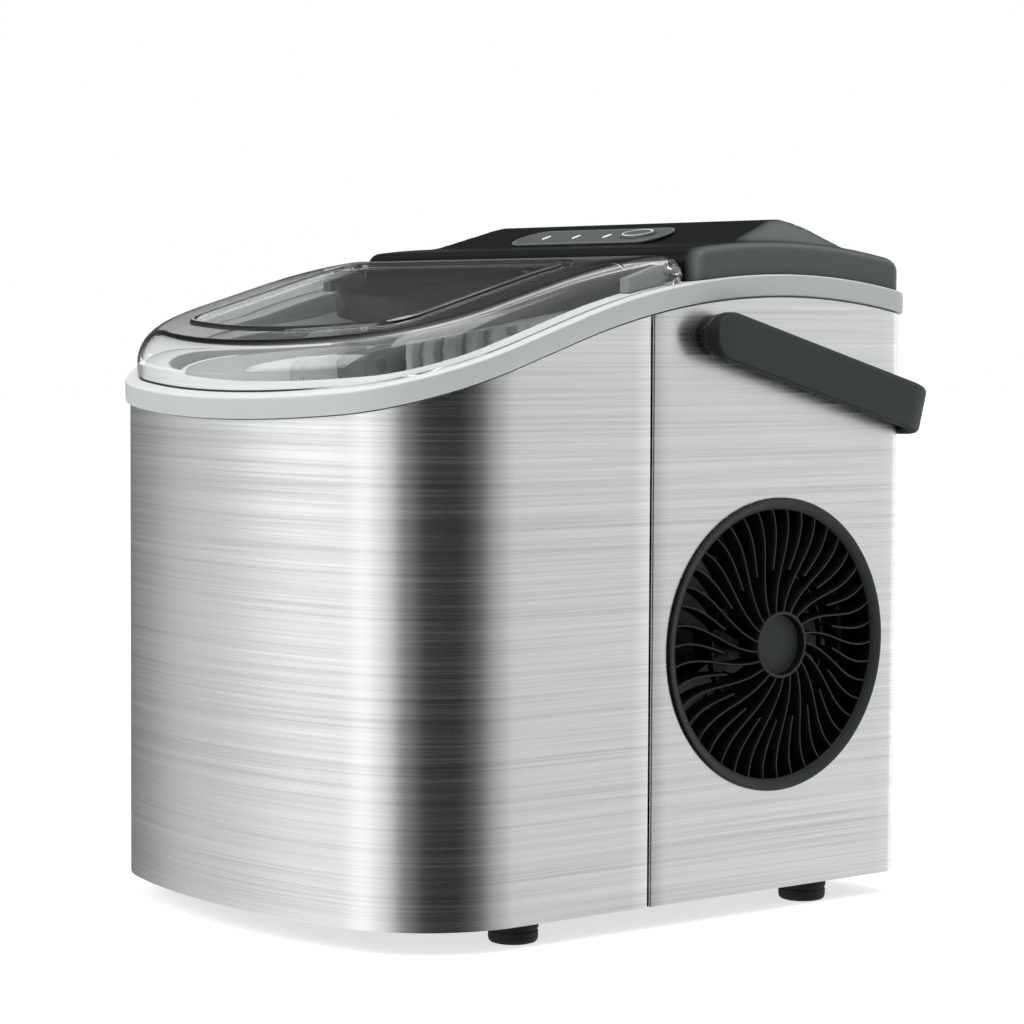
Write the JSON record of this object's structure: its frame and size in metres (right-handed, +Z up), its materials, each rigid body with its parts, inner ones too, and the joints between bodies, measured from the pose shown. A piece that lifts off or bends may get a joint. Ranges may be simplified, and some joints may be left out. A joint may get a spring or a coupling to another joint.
{
  "type": "countertop ice maker",
  "caption": "Countertop bullet ice maker with a steel cabinet, sloping clear hinged lid, black control top, side fan grille and folding carry handle.",
  "frame": {"origin": "on the floor under the middle of the overall box, on the cabinet's plane of symmetry", "axes": "+Z up, the front with the ice lid faces -Y, +X is the side with the fan grille"},
  "size_m": [0.2492, 0.2864, 0.284],
  "materials": {
    "steel": "horizontally brushed stainless sheet",
    "band": "light grey satin plastic",
    "tank": "pale grey moulded plastic",
    "gloss": "glossy black plastic",
    "black": "satin black plastic",
    "slate": "matte slate grey plastic",
    "rubber": "matte black rubber",
    "clear": "clear moulded plastic",
    "foam": "pale insulation foam",
    "copper": "drawn copper tube",
    "aluminium": "plain aluminium",
    "compressor_paint": "black painted steel can",
    "board": "green circuit board",
    "grey": "mid grey satin plastic",
    "motor": "plated motor can"
  },
  "bodies": {
    "cabinet": {"base_tray": "black", "foot_front_right": "rubber", "foot_front_left": "rubber", "foot_rear_right": "rubber", "foot_rear_left": "rubber", "front_wrap": "steel", "right_side_panel": "steel", "left_side_panel": "steel", "rear_panel": "black", "rear_screw_1": "aluminium", "rear_screw_2": "aluminium", "rear_screw_3": "aluminium", "rear_screw_4": "aluminium", "cord_inlet": "black", "drain_socket": "grey", "top_frame": "band", "top_housing": "gloss", "control_overlay": "grey", "indicator_lens_1": "clear", "indicator_lens_2": "clear", "indicator_lens_3": "clear", "control_board": "board", "hinge_knuckle_right": "grey", "lid_hinge_pin_right": "aluminium", "handle_pivot_right": "black", "hinge_knuckle_left": "grey", "lid_hinge_pin_left": "aluminium", "handle_pivot_left": "black", "side_grille": "black", "fan_shroud": "black", "fan_motor": "motor", "condenser": "aluminium", "compressor": "compressor_paint", "hot_gas_pipe": "copper", "suction_pipe": "copper", "inner_tank": "tank", "tank_insulation": "foam", "ice_chute": "tank", "evaporator": "aluminium", "evaporator_cover": "gloss", "ice_level_sensor": "slate", "tray_motor": "black", "water_pump": "grey", "water_hose": "clear"},
    "lid": {"lid": "clear"},
    "handle": {"handle": "slate"},
    "fan": {"fan": "slate"},
    "water_tray": {"water_tray": "tank"},
    "ice_pusher": {"ice_pusher": "tank"},
    "ice_basket": {"ice_basket": "tank"},
    "power_button": {"power_button": "grey"},
    "drain_plug": {"drain_plug": "rubber"}
  },
  "joints": [
    {"name": "lid_hinge", "type": "hinge", "parent": "cabinet", "child": "lid", "pos_m": [0, 0.005, 0.2618], "axis": [-1, 0, 0], "range_deg": [0, 95]},
    {"name": "handle_swing", "type": "hinge", "parent": "cabinet", "child": "handle", "pos_m": [0, 0.0225, 0.2357], "axis": [1, 0, 0], "range_deg": [0, 105.5]},
    {"name": "fan_spin", "type": "hinge", "parent": "cabinet", "child": "fan", "pos_m": [0.0925, 0.0583, 0.11], "axis": [1, 0, 0], "continuous": true},
    {"name": "tray_tilt", "type": "hinge", "parent": "cabinet", "child": "water_tray", "pos_m": [0, -0.02, 0.21], "axis": [-1, 0, 0], "range_deg": [0, 75]},
    {"name": "pusher_sweep", "type": "hinge", "parent": "cabinet", "child": "ice_pusher", "pos_m": [0, -0.02, 0.21], "axis": [1, 0, 0], "range_deg": [0, 75]},
    {"name": "basket_lift", "type": "slide", "parent": "cabinet", "child": "ice_basket", "axis": [0, 0, 1], "range_m": [0, 0.018]},
    {"name": "power_button_press", "type": "slide", "parent": "cabinet", "child": "power_button", "axis": [0, 0.304, -0.9527], "range_m": [0, 0.001], "stiffness_N_per_m": 300},
    {"name": "drain_plug_pull", "type": "slide", "parent": "cabinet", "child": "drain_plug", "axis": [0, 1, 0], "range_m": [0, 0.013]}
  ],
  "couplings": [
    {"joint": "pusher_sweep", "follows": "tray_tilt", "ratio": 1}
  ]
}
